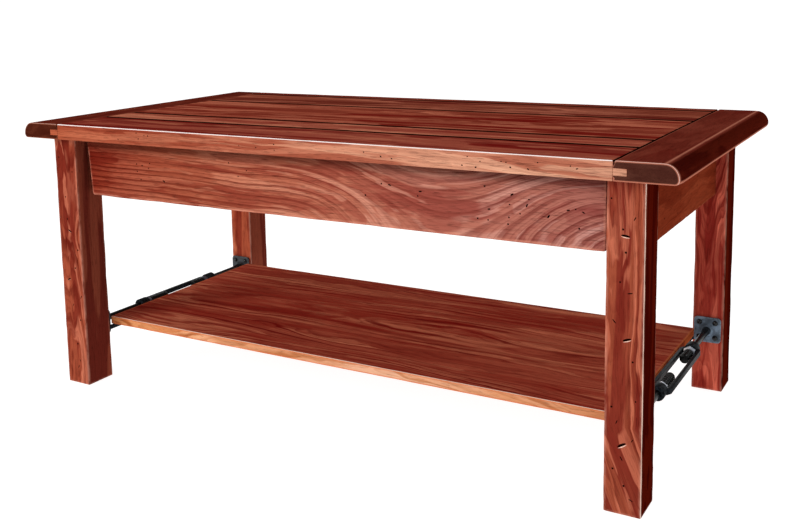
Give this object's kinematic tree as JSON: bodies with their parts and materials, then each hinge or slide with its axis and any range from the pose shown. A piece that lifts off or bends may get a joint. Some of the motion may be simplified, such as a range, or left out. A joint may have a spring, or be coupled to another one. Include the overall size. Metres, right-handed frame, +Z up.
{
  "type": "coffee table",
  "caption": "Rustic plank coffee table with breadboard ends, square legs, lower shelf, turnbuckle end ties, and a top that lifts up and forward over a storage compartment.",
  "frame": {"origin": "on the floor under the middle of the table", "axes": "+X along the length towards the right end, -Y towards the front, +Z up"},
  "size_m": [1.219, 0.635, 0.508],
  "materials": {
    "top_wood": "satin red-brown stain, planks with dark V-grooves",
    "breadboard_wood": "satin, darker maroon-brown stain",
    "leg_wood": "satin red-brown stain, distressed with dents and worm holes",
    "apron_wood": "satin red-brown stain, open cathedral grain",
    "shelf_wood": "satin dark red-brown stain, lighter orange edges",
    "inner_wood": "plain stained inner boards",
    "black_iron": "black satin with worn edges",
    "plate_iron": "slate-grey satin",
    "bright_steel": "zinc-plated",
    "lift_steel": "black semi-gloss powder coat"
  },
  "bodies": {
    "base": {"compartment_floor": "inner_wood", "floor_cleat_front": "inner_wood", "floor_cleat_rear": "inner_wood", "inner_front_rail": "inner_wood", "leg_front_left": "leg_wood", "leg_front_right": "leg_wood", "leg_rear_left": "leg_wood", "leg_rear_right": "leg_wood", "lift_base_bracket_left": "lift_steel", "lift_base_bracket_right": "lift_steel", "lift_front_lower_pin_left": "bright_steel", "lift_front_lower_pin_right": "bright_steel", "lift_rear_lower_pin_left": "bright_steel", "lift_rear_lower_pin_right": "bright_steel", "lift_spring_left": "lift_steel", "lift_spring_right": "lift_steel", "lower_shelf": "shelf_wood", "rear_apron": "apron_wood", "shelf_hanger_left": "black_iron", "shelf_hanger_right": "black_iron", "side_apron_left": "apron_wood", "side_apron_right": "apron_wood", "turnbuckle_plate_left_front": "plate_iron", "turnbuckle_plate_left_rear": "plate_iron", "turnbuckle_plate_right_front": "plate_iron", "turnbuckle_plate_right_rear": "plate_iron", "turnbuckle_rod_left_front": "black_iron", "turnbuckle_rod_left_rear": "black_iron", "turnbuckle_rod_right_front": "black_iron", "turnbuckle_rod_right_rear": "black_iron"},
    "top": {"breadboard_left": "breadboard_wood", "breadboard_right": "breadboard_wood", "front_apron": "apron_wood", "lift_front_upper_pin_left": "bright_steel", "lift_front_upper_pin_right": "bright_steel", "lift_rear_upper_pin_left": "bright_steel", "lift_rear_upper_pin_right": "bright_steel", "lift_top_bracket_left": "lift_steel", "lift_top_bracket_right": "lift_steel", "top_plank_1": "top_wood", "top_plank_2": "top_wood", "top_plank_3": "top_wood", "top_plank_4": "top_wood", "top_plank_5": "top_wood"},
    "rear_arms": {"lift_rear_arm_left": "lift_steel", "lift_rear_arm_right": "lift_steel", "lift_torque_tube": "lift_steel"},
    "front_arm_left": {"lift_front_arm_left": "lift_steel"},
    "front_arm_right": {"lift_front_arm_right": "lift_steel"},
    "turnbuckle_left": {"turnbuckle_body_left": "black_iron"},
    "turnbuckle_right": {"turnbuckle_body_right": "black_iron"},
    "nut_left_front": {"turnbuckle_nut_left_front": "bright_steel"},
    "nut_left_rear": {"turnbuckle_nut_left_rear": "bright_steel"},
    "nut_right_front": {"turnbuckle_nut_right_front": "bright_steel"},
    "nut_right_rear": {"turnbuckle_nut_right_rear": "bright_steel"}
  },
  "joints": [
    {"name": "rear_arms_swing", "type": "hinge", "parent": "base", "child": "rear_arms", "pos_m": [0, -0.01, 0.406], "axis": [1, 0, 0], "range_deg": [0, 105]},
    {"name": "top_level", "type": "hinge", "parent": "rear_arms", "child": "top", "pos_m": [0, 0.20666, 0.4442], "axis": [1, 0, 0], "range_deg": [-105, 0]},
    {"name": "front_arm_left_swing", "type": "hinge", "parent": "base", "child": "front_arm_left", "pos_m": [-0.5127, -0.15, 0.406], "axis": [1, 0, 0], "range_deg": [0, 105]},
    {"name": "front_arm_right_swing", "type": "hinge", "parent": "base", "child": "front_arm_right", "pos_m": [0.5127, -0.15, 0.406], "axis": [1, 0, 0], "range_deg": [0, 105]},
    {"name": "turnbuckle_left_spin", "type": "hinge", "parent": "base", "child": "turnbuckle_left", "pos_m": [-0.531, 0, 0.107], "axis": [0, 1, 0], "continuous": true},
    {"name": "turnbuckle_right_spin", "type": "hinge", "parent": "base", "child": "turnbuckle_right", "pos_m": [0.531, 0, 0.1155], "axis": [0, 1, 0], "continuous": true},
    {"name": "nut_left_front_spin", "type": "hinge", "parent": "base", "child": "nut_left_front", "pos_m": [-0.531, -0.0905, 0.107], "axis": [0, 1, 0], "continuous": true},
    {"name": "nut_left_rear_spin", "type": "hinge", "parent": "base", "child": "nut_left_rear", "pos_m": [-0.531, 0.0905, 0.107], "axis": [0, 1, 0], "continuous": true},
    {"name": "nut_right_front_spin", "type": "hinge", "parent": "base", "child": "nut_right_front", "pos_m": [0.531, -0.0905, 0.1155], "axis": [0, 1, 0], "continuous": true},
    {"name": "nut_right_rear_spin", "type": "hinge", "parent": "base", "child": "nut_right_rear", "pos_m": [0.531, 0.0905, 0.1155], "axis": [0, 1, 0], "continuous": true}
  ],
  "couplings": [
    {"joint": "top_level", "follows": "rear_arms_swing", "ratio": -1},
    {"joint": "front_arm_left_swing", "follows": "rear_arms_swing", "ratio": 1},
    {"joint": "front_arm_right_swing", "follows": "rear_arms_swing", "ratio": 1}
  ]
}
